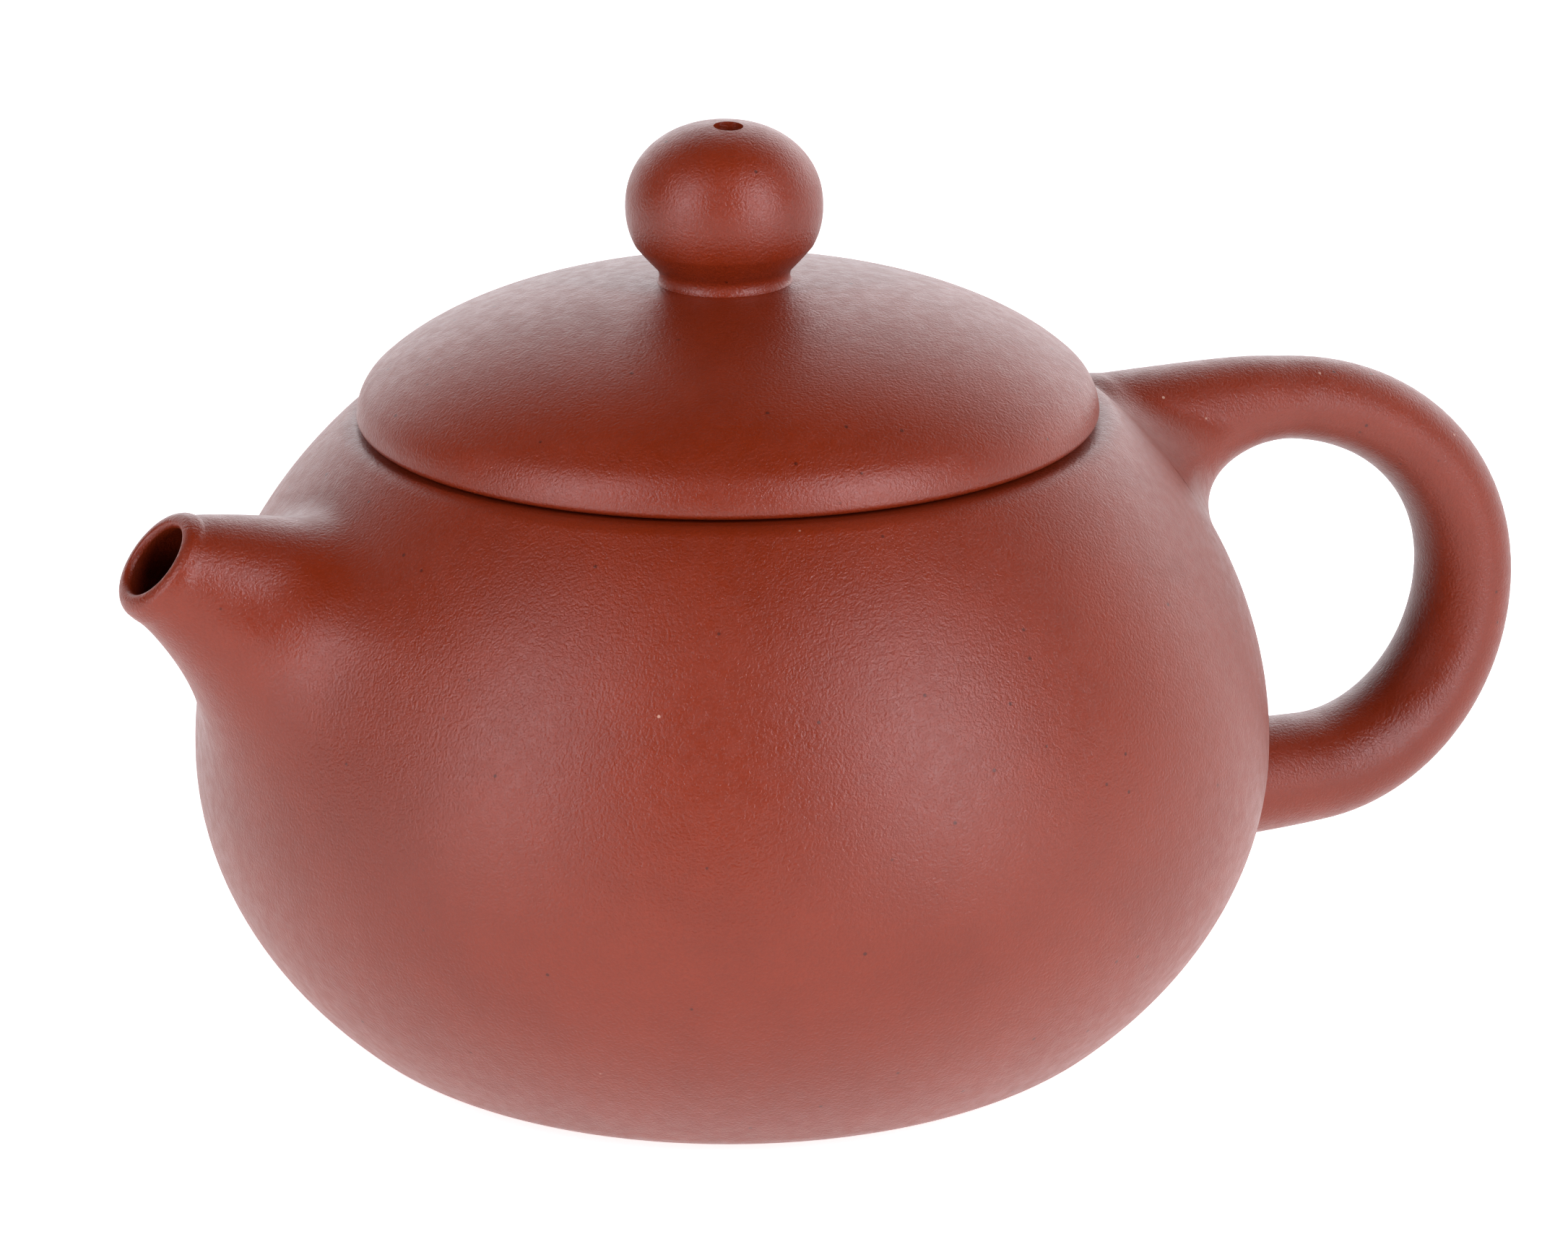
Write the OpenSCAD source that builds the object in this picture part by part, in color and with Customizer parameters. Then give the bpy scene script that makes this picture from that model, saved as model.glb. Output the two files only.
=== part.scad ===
// Yixing clay teapot: a round pot with a short spout, a looped handle and a domed lid with a ball knob.
// Millimetres, +Z up. The origin is the centre of the ring that the pot rests on.
// The spout points along -X and the handle along +X.
// Each part is one of the clay pieces that the potter makes and then joins with slip.

/* [Body] */
// Diameter at the belly
belly_d = 90; // [86:1:96]
// Height of the shoulder's oval above the belly, were it closed
shoulder_rise = 39.5; // [38:0.5:42]
// Depth of the lower oval below the belly, were it closed
lower_drop = 33.8; // [33:0.2:35]
// Radius of the rounded edge round the base
edge_r = 12; // [10:0.5:14]
// Angle below the belly at which the lower oval turns into the rounded edge
edge_angle = 41.3; // [40:0.1:43]
// Height of the flat rim above the belly
rim_rise = 28; // [27:0.2:29]
// Thickness of the clay wall
wall = 3; // [2.5:0.1:3.4]

/* [Base] */
// Radius of the disc that closes the bottom
base_disc_r = 24; // [22:0.5:25]
// Inner radius of the ring that touches the table
foot_inner_r = 21; // [18:0.5:21.5]
// Depth of the pressed-in hollow under the base
base_hollow = 1.2; // [0.6:0.1:1.6]

/* [Mouth] */
// Radius of the opening
mouth_r = 23.9; // [23.6:0.1:24.4]
// Outer radius of the ring that stiffens the mouth
mouth_ring_r = 27.2; // [26.8:0.1:28]
// Height of the mouth ring
mouth_ring_h = 6; // [5:0.5:7]
// Angle above the belly at which the shoulder disc is joined to the wall
shoulder_seam = 40; // [39:0.5:41]
// Rounding at the outer edge of the rim
rim_round = 0.7; // [0.4:0.1:0.9]

/* [Lid] */
// Radius of the lid at its rounded edge
lid_r = 30.9; // [30.4:0.1:31.2]
// Radius of the round section of that edge
lid_edge = 2.2; // [2.1:0.05:2.3]
// Radius of the dome's curve
dome_r = 59; // [57:1:62]
// Height of the dome above the rim
dome_rise = 12; // [11.5:0.1:12.4]
// Thickness of the dome over its hollow
dome_wall = 3; // [2.6:0.1:3.4]
// Gap between the flange and the mouth
flange_gap = 0.3; // [0.3:0.05:0.5]
// Thickness of the flange
flange_wall = 2.8; // [2.4:0.1:3]
// Height of the flange
flange_h = 7.2; // [6.5:0.1:8]

/* [Knob] */
// Half the width of the ball
ball_r = 8.15; // [7.8:0.05:8.5]
// Half the height of the ball
ball_half_h = 6.95; // [6.6:0.05:7.3]
// Height of the ball's middle above the top of the dome
ball_rise = 5.9; // [5.7:0.1:6.1]
// Angle below the ball's middle at which the neck begins
neck_angle = 47; // [45:1:49]
// How far the neck flares out where it meets the dome
neck_flare = 1; // [0.6:0.1:1.4]
// Radius of the vent hole
vent_r = 1.22; // [1:0.01:1.5]

/* [Spout] */
// Distance of the mouth's centre from the pot's axis
spout_reach = 51.2; // [50.6:0.2:51.8]
// Height of the mouth's centre above the belly
spout_rise = 22.9; // [22.5:0.1:23.3]
// Slope of the spout
spout_slope = 33; // [31:0.1:34]
// Outer radius at the mouth
tip_r = 4.4; // [4.3:0.1:4.7]
// Radius of the bore at the mouth
tip_bore_r = 3.1; // [2.9:0.05:3.2]
// Rounding of the lip
lip_r = 0.65; // [0.5:0.05:0.65]
// Growth of the outer radius for each millimetre towards the pot
spout_taper = 0.335; // [0.32:0.005:0.35]
// Growth of the bore's radius for each millimetre towards the pot
bore_taper = 0.27; // [0.24:0.01:0.3]
// Extra radius where the spout spreads onto the wall
spout_flare = 1.2; // [0.8:0.1:1.4]
// Length over which it spreads
spout_flare_l = 6; // [6:0.5:8]

/* [Strainer] */
// Outer radius of the ball strainer
strainer_r = 7.6; // [7.2:0.1:7.8]
// Thickness of the strainer
strainer_wall = 1.5; // [1.2:0.1:1.8]
// Radius of its holes
strainer_hole_r = 0.8; // [0.6:0.05:0.9]
// Angle between one ring of holes and the next
strainer_pitch = 24; // [22:1:26]

/* [Handle] */
// Height of the top of the loop's centreline
handle_top_z = 47.8; // [47:0.2:48.4]
// Height of the bottom of the loop's centreline
handle_low_z = 13.2; // [12.6:0.2:14]
// Reach of the loop's centreline from the pot's axis
handle_reach = 72.2; // [71:0.2:74]
// Half the thickness at the top of the loop
handle_top_t = 3.4; // [3:0.1:3.8]
// Half the thickness at the bottom of the loop
handle_low_t = 5; // [4.5:0.1:5.5]
// Width divided by thickness
handle_width = 1.14; // [1:0.01:1.25]
// Extra half thickness where the handle spreads onto the wall
handle_flare = 3.6; // [2:0.1:4]

/* [Hidden] */

clay = "#8f3f2a";
clay_dark = "#7d3322";
belly_r = belly_d / 2;
turn_fn = 128;

// The lower oval hands over to the rounded edge where the two are tangent.
edge_normal = unit([cos(edge_angle) / belly_r, -sin(edge_angle) / lower_drop]);
edge_centre_r = belly_r * cos(edge_angle) - edge_r * edge_normal[0];
belly_z = lower_drop * sin(edge_angle) + edge_r * edge_normal[1] + edge_r;
edge_turn = atan2(edge_normal[1], edge_normal[0]);
rim_z = belly_z + rim_rise;
round_angle = asin((rim_rise - rim_round) / shoulder_rise);
round_centre = [belly_r * cos(round_angle) - rim_round, rim_z - rim_round];

dome_top_z = rim_z + dome_rise;
dome_centre_z = dome_top_z - dome_r;
lid_edge_centre = [lid_r - lid_edge,
                   dome_centre_z + sqrt(pow(dome_r - lid_edge, 2) - pow(lid_r - lid_edge, 2))];
lid_edge_turn = atan2(lid_edge_centre[1] - dome_centre_z, lid_edge_centre[0]);
lid_edge_foot = asin((rim_z - lid_edge_centre[1]) / lid_edge);
flange_r = mouth_r - flange_gap;
ball_z = dome_top_z + ball_rise;
neck_top = [ball_r * cos(neck_angle), ball_z - ball_half_h * sin(neck_angle)];
knob_root_z = dome_top_z - 2;

// Distances along the spout's line, from the mouth: where the spread begins, the strainer's centre, the root.
spread_start = 7;
strainer_depth = 15.4;
spout_depth = 17;
strainer_collar = 1.6;

// Four smooth curves carry the handle's centreline: out of the shoulder, over the top, round, and back.
handle_crest_x = 52.5;
handle_waist_z = 28.5;
handle_foot_x = 56;
handle_path = [
    [[36, handle_top_z - 2.6], [42, handle_top_z - 1.1], [47, handle_top_z], [handle_crest_x, handle_top_z]],
    [[handle_crest_x, handle_top_z], [63.5, handle_top_z], [handle_reach, 38.5], [handle_reach, handle_waist_z]],
    [[handle_reach, handle_waist_z], [handle_reach, 20.5], [66, handle_low_z], [handle_foot_x, handle_low_z]],
    [[handle_foot_x, handle_low_z], [50, handle_low_z], [45, handle_low_z + 0.4], [39, handle_low_z + 0.9]]
];
handle_steps = 9;
handle_flare_share = 0.85;
loft_sides = 28;

function unit(v) = v / norm(v);

// Points along a circle's arc, or an oval's, in the outline's plane.
function arc(centre, rx, rz, from, to, steps) =
    [for (i = [0:steps]) let (a = from + (to - from) * i / steps) centre + [rx * cos(a), rz * sin(a)]];

// A point of the pot's outline at angle a of an oval of height h, moved inwards by an inset.
function oval_point(a, h, inset) =
    let (outward = unit([cos(a) / belly_r, sin(a) / h]))
    [belly_r * cos(a), belly_z + h * sin(a)] - inset * outward;

// Outlines of the lower part and of the shoulder, upwards, at an inset from the outer surface.
function lower_outline(inset) = concat(
    arc([edge_centre_r, edge_r], edge_r - inset, edge_r - inset, -90, edge_turn, 8),
    [for (i = [1:14]) oval_point(-edge_angle * (1 - i / 14), lower_drop, inset)]);
function shoulder_outline(from, to, steps, inset) =
    [for (i = [0:steps]) oval_point(from + (to - from) * i / steps, shoulder_rise, inset)];
function rim_outline() = arc(round_centre, rim_round, rim_round, round_angle, 90, 4);

function reversed(list) = [for (i = [len(list) - 1:-1:0]) list[i]];

function bezier(p, t) =
    pow(1 - t, 3) * p[0] + 3 * t * pow(1 - t, 2) * p[1] + 3 * t * t * (1 - t) * p[2] + pow(t, 3) * p[3];
function bezier_heading(p, t) = unit(
    pow(1 - t, 2) * (p[1] - p[0]) + 2 * t * (1 - t) * (p[2] - p[1]) + t * t * (p[3] - p[2]));

// A ring of a loft: its centre and heading in the X-Z plane, and its half sizes across the heading and along Y.
function ring(centre, heading, across, wide) = [centre, heading, across, wide];

// Closed solid through a row of rings.
module loft(rings, sides) {
    count = len(rings);
    points = [for (r = rings) for (i = [0:sides - 1])
        let (a = 360 * i / sides, n = [-r[1][1], r[1][0]])
        [r[0][0] + r[2] * cos(a) * n[0], r[3] * sin(a), r[0][1] + r[2] * cos(a) * n[1]]];
    skin = [for (k = [0:count - 2]) for (i = [0:sides - 1])
        let (j = (i + 1) % sides, p = k * sides, q = p + sides)
        each [[p + i, q + i, p + j], [p + j, q + i, q + j]]];
    caps = [[for (i = [0:sides - 1]) i], [for (i = [sides - 1:-1:0]) (count - 1) * sides + i]];
    polyhedron(points, concat(skin, caps));
}

// Everything inside the pot's outer surface, as one solid.
module filled_pot() {
    rotate_extrude($fn = turn_fn)
        polygon(concat([[0, 0]], lower_outline(0), shoulder_outline(0, round_angle, 18, 0),
            rim_outline(), [[0, rim_z]]));
}

// Places its children on the spout's line at a distance from the mouth, with their Z axis pointing into the pot.
module on_spout_line(distance) {
    translate([distance * cos(spout_slope) - spout_reach, 0, belly_z + spout_rise - distance * sin(spout_slope)])
        rotate([0, 90 + spout_slope, 0])
        children();
}

// The beaten wall, from the base disc's edge up to the shoulder seam.
module body_wall() {
    color(clay) difference() {
        rotate_extrude($fn = turn_fn)
            polygon(concat([[base_disc_r, 0]], lower_outline(0),
                shoulder_outline(0, shoulder_seam, 10, 0), reversed(shoulder_outline(0, shoulder_seam, 10, wall)),
                reversed(lower_outline(wall)), [[base_disc_r, wall]]));
        on_spout_line(strainer_depth - 8.5) cylinder(r = strainer_r, h = 12, $fn = 64);
    }
}

// The bottom, pressed in so that only its outer ring touches the table.
module base_disc() {
    hollow_r = (pow(foot_inner_r, 2) + pow(base_hollow, 2)) / (2 * base_hollow);
    hollow_angle = asin(foot_inner_r / hollow_r);
    color(clay_dark) rotate_extrude($fn = turn_fn)
        polygon(concat(
            arc([0, base_hollow - hollow_r], hollow_r, hollow_r, 90, 90 - hollow_angle, 10),
            [[base_disc_r, 0], [base_disc_r, wall], [0, wall]]));
}

// The disc that closes the shoulder, from the seam to the mouth ring.
module shoulder_disc() {
    inner = [for (p = shoulder_outline(shoulder_seam, round_angle, 8, wall)) if (p[0] > mouth_ring_r) p];
    color(clay) rotate_extrude($fn = turn_fn)
        polygon(concat(shoulder_outline(shoulder_seam, round_angle, 8, 0), rim_outline(),
            [[mouth_ring_r, rim_z], [mouth_ring_r, inner[len(inner) - 1][1]]], reversed(inner)));
}

// The ring that stiffens the mouth and guides the lid.
module mouth_ring() {
    color(clay_dark) translate([0, 0, rim_z - mouth_ring_h]) difference() {
        cylinder(r = mouth_ring_r, h = mouth_ring_h, $fn = turn_fn);
        translate([0, 0, -1]) cylinder(r = mouth_r, h = mouth_ring_h + 2, $fn = turn_fn);
    }
}

// A short cone with a rounded lip, which spreads as it meets the wall.
module spout() {
    flank = [for (d = [lip_r:0.65:spout_depth])
        [tip_r + spout_taper * d + spout_flare * pow(max(0, d - spread_start) / spout_flare_l, 2), d]];
    color(clay) difference() {
        on_spout_line(0) rotate_extrude($fn = 96)
            polygon(concat([[0, 0]], arc([tip_r - lip_r, lip_r], lip_r, lip_r, -90, -15, 5), flank,
                [[0, flank[len(flank) - 1][1]]]));
        on_spout_line(-1)
            cylinder(r1 = tip_bore_r - bore_taper, r2 = tip_bore_r + bore_taper * (spout_depth + 1),
                h = spout_depth + 2, $fn = 64);
        filled_pot();
    }
}

// A small cup of clay with rings of holes, which keeps the leaves out of the spout.
module strainer() {
    inner_r = strainer_r - strainer_wall;
    color(clay_dark) on_spout_line(strainer_depth) difference() {
        rotate_extrude($fn = 64)
            polygon(concat([[inner_r, -strainer_collar], [strainer_r, -strainer_collar]],
                arc([0, 0], strainer_r, strainer_r, 0, acos(strainer_hole_r / strainer_r), 9),
                arc([0, 0], inner_r, inner_r, acos(strainer_hole_r / inner_r), 0, 9)));
        for (turn = [30:60:330]) rotate([0, strainer_pitch, turn]) strainer_hole();
        for (turn = [15:30:345]) rotate([0, 2 * strainer_pitch, turn]) strainer_hole();
    }
}
module strainer_hole() {
    translate([0, 0, strainer_r / 2]) cylinder(r = strainer_hole_r, h = strainer_r, $fn = 24);
}

// A looped handle, thinner at the top than at the bottom, which spreads where it meets the wall.
module handle() {
    color(clay) difference() {
        loft([for (k = [0:len(handle_path) - 1]) for (i = [(k == 0 ? 0 : 1):handle_steps])
            handle_ring(k, i / handle_steps)], loft_sides);
        filled_pot();
    }
}
function handle_ring(k, t) =
    let (along = (k + t) / len(handle_path),
         thick = handle_top_t + (handle_low_t - handle_top_t) * min(1, max(0, along - 0.25) * 2),
         from_root = min(k + t, len(handle_path) - k - t),
         flare = handle_flare * pow(max(0, 1 - from_root / handle_flare_share), 2))
    ring(bezier(handle_path[k], t), bezier_heading(handle_path[k], t),
        thick + flare, thick * handle_width + flare);

// The lid's dome, flat underneath where it rests on the rim and hollow inside the flange.
module lid_dome() {
    color(clay) difference() {
        rotate_extrude($fn = turn_fn)
            polygon(concat([[0, rim_z]],
                arc(lid_edge_centre, lid_edge, lid_edge, lid_edge_foot, lid_edge_turn, 14),
                arc([0, dome_centre_z], dome_r, dome_r, lid_edge_turn, 90, 24)));
        intersection() {
            translate([0, 0, dome_centre_z]) sphere(r = dome_r - dome_wall, $fn = turn_fn);
            cylinder(r = flange_r - flange_wall, h = dome_top_z, $fn = turn_fn);
        }
        vent();
    }
}

// The flange that hangs in the mouth.
module lid_flange() {
    color(clay_dark) translate([0, 0, rim_z - flange_h]) difference() {
        cylinder(r = flange_r, h = flange_h, $fn = turn_fn);
        translate([0, 0, -1]) cylinder(r = flange_r - flange_wall, h = flange_h + 2, $fn = turn_fn);
    }
}

// The vent through the knob and the lid.
module vent() {
    translate([0, 0, rim_z]) cylinder(r = vent_r, h = dome_rise + 2 * ball_half_h + ball_rise, $fn = 32);
}

// The ball knob on its short neck.
module knob() {
    flare = arc([neck_top[0] + neck_flare, neck_top[1]], neck_flare, neck_top[1] - knob_root_z, 180, 270, 6);
    color(clay) difference() {
        rotate_extrude($fn = turn_fn)
            polygon(concat([[0, knob_root_z]], reversed(flare),
                arc([0, ball_z], ball_r, ball_half_h, -neck_angle, 90, 30)));
        translate([0, 0, dome_centre_z]) sphere(r = dome_r, $fn = turn_fn);
        vent();
    }
}

body_wall();
base_disc();
shoulder_disc();
mouth_ring();
spout();
strainer();
handle();
lid_dome();
lid_flange();
knob();
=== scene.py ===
import math

import bmesh
import bpy
import numpy as np
from mathutils import Matrix, Vector


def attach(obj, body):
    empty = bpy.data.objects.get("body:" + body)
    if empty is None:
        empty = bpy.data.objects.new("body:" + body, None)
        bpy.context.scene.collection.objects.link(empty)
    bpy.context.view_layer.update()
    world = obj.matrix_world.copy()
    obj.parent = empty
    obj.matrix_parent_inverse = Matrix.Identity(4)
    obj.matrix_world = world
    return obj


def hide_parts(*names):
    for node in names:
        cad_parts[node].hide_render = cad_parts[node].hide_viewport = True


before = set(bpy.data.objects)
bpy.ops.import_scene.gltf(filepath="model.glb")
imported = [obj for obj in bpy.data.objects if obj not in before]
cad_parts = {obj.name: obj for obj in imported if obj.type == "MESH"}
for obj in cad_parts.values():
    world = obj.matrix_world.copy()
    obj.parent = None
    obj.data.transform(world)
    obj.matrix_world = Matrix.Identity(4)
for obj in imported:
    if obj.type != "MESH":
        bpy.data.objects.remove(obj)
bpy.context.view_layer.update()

MM = 0.001

# The pot's outline, in millimetres: two half ovals that meet at the belly, and a rounded edge round the base.
BELLY_R = 45.0
BELLY_Z = 25.19
SHOULDER_H = 39.5
LOWER_H = 33.8
EDGE_R = 12.0
EDGE_ANGLE = math.radians(41.3)
RIM_Z = 53.2
RIM_ROUND = 2.4
WALL = 3.0
SEAM_ANGLE = math.radians(40)
BASE_DISC_R = 24.0
FOOT_R = 21.0
BASE_HOLLOW = 1.2
MOUTH_R = 23.9
MOUTH_RING_R = 27.2
MOUTH_RING_H = 6.0

# The lid and its knob.
LID_TOP = 65.0
DOME_R = 59.0
FLANGE_R = 23.6
FLANGE_WALL = 2.8
FLANGE_H = 7.2
BALL_Z = 71.1
BALL_R = 8.12
BALL_H = 6.94
BALL_POWER = 2.13
VENT_R = 1.22
LID_SHIFT = (-0.18, 0.09, 0)
KNOB_SHIFT = (-0.35, 0.17, 0)
VENT_TIP = (-0.45, -0.92)

# The spout's line, from its mouth into the pot.
SPOUT_MOUTH = np.array([-51.15, 48.2])
SPOUT_SLOPE = math.radians(32.3)
MOUTH_SLOPE = math.radians(40)
STRAINER_R = 7.6

# The camera: its turn round the pot, its tilt, its distance and height above the belly, and its lens.
VIEW_TURN = math.radians(26)
VIEW_PITCH, VIEW_YAW, VIEW_ROLL = math.radians(18.0), math.radians(0.51), math.radians(-0.27)
EYE_BACK, EYE_UP = 488.3, 169.1
SENSOR, LENS = 36, 140.95

# Light: levels of the backdrop, the floor and the two soft boxes (size in metres, power in watts).
WORLD_DIM = 0.015
WORLD_BRIGHT = 2.6
FLOOR_GLOW = 0.8
GLOSS = 0.46
BOX_SIZE = (0.2, 0.95)
BOX_COLOUR = (1.0, 0.93, 1.0)
LEFT_POWER, RIGHT_POWER = 7.3, 10.0
# The boxes' turns from the camera's side of the pot, their angle above level, and their distance in metres.
LEFT_TURN, RIGHT_TURN = math.radians(-48), math.radians(44)
BOX_RISE = math.radians(23)
BOX_DISTANCE = 1.0
BOX_AIM_Z = 0.03

# The clays, as linear colours: two tones each, and the pale specks.
CLAY_TONES = (0.162, 0.0160, 0.0020), (0.178, 0.0192, 0.0036)
INNER_TONES = (0.19, 0.024, 0.006), (0.23, 0.031, 0.009)
SPECK_PALE = (0.55, 0.36, 0.27)
GRAIN_DEPTH = 0.00005
WAVE_DEPTH = 0.00002


# ---------------------------------------------------------------- mesh tools

def mesh_piece(name, verts, faces, body, replaces):
    """A mesh from vertices in millimetres, which rides on a body and stands for CAD nodes."""
    mesh = bpy.data.meshes.new(name)
    mesh.from_pydata((np.asarray(verts) * MM).tolist(), [], faces)
    mesh.validate()
    mesh.update()
    obj = bpy.data.objects.new(name, mesh)
    bpy.context.scene.collection.objects.link(obj)
    mesh.polygons.foreach_set("use_smooth", [True] * len(mesh.polygons))
    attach(obj, body)
    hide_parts(*replaces)
    return obj


def revolve(outline, sides):
    """Vertices and faces of a closed outline of (radius, height) turned about Z.
    A point on the axis becomes one vertex."""
    outline = [tuple(map(float, p)) for p in outline]
    verts, rings = [], []
    for r, z in outline:
        if r < 1e-6:
            rings.append([len(verts)])
            verts.append((0, 0, z))
        else:
            start = len(verts)
            for i in range(sides):
                a = 2 * math.pi * i / sides
                verts.append((r * math.cos(a), r * math.sin(a), z))
            rings.append(list(range(start, start + sides)))
    faces = []
    count = len(rings)
    for k in range(count):
        a, b = rings[k], rings[(k + 1) % count]
        if len(a) == 1 and len(b) == 1:
            continue
        for i in range(sides):
            j = (i + 1) % sides
            if len(a) == 1:
                faces.append((a[0], b[j], b[i]))
            elif len(b) == 1:
                faces.append((a[i], a[j], b[0]))
            else:
                faces.append((a[i], a[j], b[j], b[i]))
    return verts, faces


def arc(centre, rx, rz, start, end, steps):
    """Points along an oval's arc, angles in degrees."""
    return [(centre[0] + rx * math.cos(math.radians(start + (end - start) * i / steps)),
             centre[1] + rz * math.sin(math.radians(start + (end - start) * i / steps)))
            for i in range(steps + 1)]


def spline(points, count):
    """Points along a smooth curve through the given ones, evenly spaced by length."""
    p = np.asarray(points, float)
    step = np.linalg.norm(np.diff(p, axis=0), axis=1)
    t = np.concatenate([[0], np.cumsum(np.sqrt(np.maximum(step, 1e-12)))])
    n = len(p)
    h = np.diff(t)
    a = np.zeros((n, n))
    b = np.zeros((n, p.shape[1]))
    a[0, 0] = a[-1, -1] = 1
    for i in range(1, n - 1):
        a[i, i - 1], a[i, i], a[i, i + 1] = h[i - 1], 2 * (h[i - 1] + h[i]), h[i]
        b[i] = 6 * ((p[i + 1] - p[i]) / h[i] - (p[i] - p[i - 1]) / h[i - 1])
    m = np.linalg.solve(a, b)

    def at(x):
        k = np.clip(np.searchsorted(t, x, side="right") - 1, 0, n - 2)
        u, w = t[k + 1] - x, x - t[k]
        hk = h[k]
        return (m[k] * (u ** 3 / (6 * hk))[:, None] + m[k + 1] * (w ** 3 / (6 * hk))[:, None]
                + (p[k] / hk[:, None] - m[k] * (hk / 6)[:, None]) * u[:, None]
                + (p[k + 1] / hk[:, None] - m[k + 1] * (hk / 6)[:, None]) * w[:, None])

    fine = at(np.linspace(0, t[-1], 12 * n))
    length = np.concatenate([[0], np.cumsum(np.linalg.norm(np.diff(fine, axis=0), axis=1))])
    return np.stack([np.interp(np.linspace(0, length[-1], count), length, fine[:, c])
                     for c in range(p.shape[1])], -1)


def skin_faces(ring_count, sides, closed_loop=False):
    """Quads between rings of equal size."""
    faces = []
    for k in range(ring_count if closed_loop else ring_count - 1):
        a, b = k * sides, ((k + 1) % ring_count) * sides
        for i in range(sides):
            j = (i + 1) % sides
            faces.append((a + i, a + j, b + j, b + i))
    return faces


def point_outwards(obj):
    """Makes every face of a closed mesh point outwards."""
    bm = bmesh.new()
    bm.from_mesh(obj.data)
    bmesh.ops.recalc_face_normals(bm, faces=bm.faces)
    if bm.calc_volume(signed=True) < 0:
        bmesh.ops.reverse_faces(bm, faces=bm.faces)
    bm.to_mesh(obj.data)
    bm.free()


NORMAL_STEP = 0.02
NORMAL_NEAR = 0.05
NORMAL_LIMIT = math.radians(25)


def exact_normals(obj, distance):
    """Shading normals taken from the distance function, where the mesh follows it."""
    mesh = obj.data
    count = len(mesh.loops)
    index = np.zeros(count, np.int32)
    mesh.loops.foreach_get("vertex_index", index)
    have = np.zeros(count * 3, np.float32)
    mesh.corner_normals.foreach_get("vector", have)
    have = have.reshape(-1, 3).astype(float)
    co = np.zeros(len(mesh.vertices) * 3, np.float32)
    mesh.vertices.foreach_get("co", co)
    co = co.reshape(-1, 3).astype(float) / MM
    grad = np.stack([distance(co + d) - distance(co - d) for d in np.eye(3) * NORMAL_STEP], -1)
    grad /= np.maximum(np.linalg.norm(grad, axis=1), 1e-12)[:, None]
    near = np.abs(distance(co)) < NORMAL_NEAR
    want = grad[index]
    use = near[index] & ((want * have).sum(-1) > math.cos(NORMAL_LIMIT))
    have[use] = want[use]
    mesh.normals_split_custom_set(have.tolist())


# ---------------------------------------------------------------- the pot's outline

def oval(angle, height, inset=0.0):
    """A point of the pot's side at an angle above the belly, moved inwards by an inset."""
    n = np.array([math.cos(angle) / BELLY_R, math.sin(angle) / height])
    n /= np.linalg.norm(n)
    return np.array([BELLY_R * math.cos(angle), BELLY_Z + height * math.sin(angle)]) - inset * n


EDGE_N = np.array([math.cos(EDGE_ANGLE) / BELLY_R, -math.sin(EDGE_ANGLE) / LOWER_H])
EDGE_N /= np.linalg.norm(EDGE_N)
EDGE_CENTRE_R = BELLY_R * math.cos(EDGE_ANGLE) - EDGE_R * EDGE_N[0]
EDGE_TURN = math.degrees(math.atan2(EDGE_N[1], EDGE_N[0]))


def lower_outline(inset, steps):
    """The rounded edge of the base, then the lower oval up to the belly."""
    edge = arc((EDGE_CENTRE_R, EDGE_R), EDGE_R - inset, EDGE_R - inset, -90, EDGE_TURN, 16)
    return edge + [tuple(oval(-EDGE_ANGLE * (1 - i / steps), LOWER_H, inset)) for i in range(1, steps + 1)]


def shoulder_outline(start, end, inset, steps):
    return [tuple(oval(start + (end - start) * i / steps, SHOULDER_H, inset)) for i in range(steps + 1)]


def rim_start():
    """Angle on the shoulder's oval where the rim's rounding begins, found by halving."""
    low, high = SEAM_ANGLE, math.pi / 2
    for _ in range(50):
        middle = (low + high) / 2
        if oval(middle, SHOULDER_H, RIM_ROUND)[1] < RIM_Z - RIM_ROUND:
            low = middle
        else:
            high = middle
    return low


RIM_START = rim_start()
RIM_CENTRE = oval(RIM_START, SHOULDER_H, RIM_ROUND)
RIM_EDGE = oval(RIM_START, SHOULDER_H) - RIM_CENTRE
RIM_TURN = math.atan2(RIM_EDGE[1], RIM_EDGE[0])


def pot_distance(p):
    """Distance of points (n, 3) from the pot's outer surface with its rounded rim, above zero outside it."""
    r = np.hypot(p[:, 0], p[:, 1])
    z = p[:, 2] - BELLY_Z
    h = np.where(z > 0, SHOULDER_H, LOWER_H)
    s = np.sqrt((r / BELLY_R) ** 2 + (z / h) ** 2)
    side = (s - 1) * s / np.hypot(r / BELLY_R ** 2, z / h ** 2)
    across, up = r - RIM_CENTRE[0], p[:, 2] - RIM_CENTRE[1]
    on_rim = (across > 0) & (up * math.cos(RIM_TURN) > across * math.sin(RIM_TURN))
    inwards = (across <= 0) & (up > 0)
    return np.where(on_rim, np.hypot(across, up) - RIM_ROUND, np.where(inwards, up - RIM_ROUND, side))


def ease(t):
    """Smooth step from 0 to 1."""
    t = np.clip(t, 0, 1)
    return t * t * (3 - 2 * t)


def soft_min(a, b, k, power=3):
    """Smaller of a and b, with a fillet of width k where they meet. A lower power fills the corner more."""
    h = np.maximum(k - np.abs(a - b), 0) / k
    return np.minimum(a, b) - h ** power * k / (2 * power)


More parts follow.
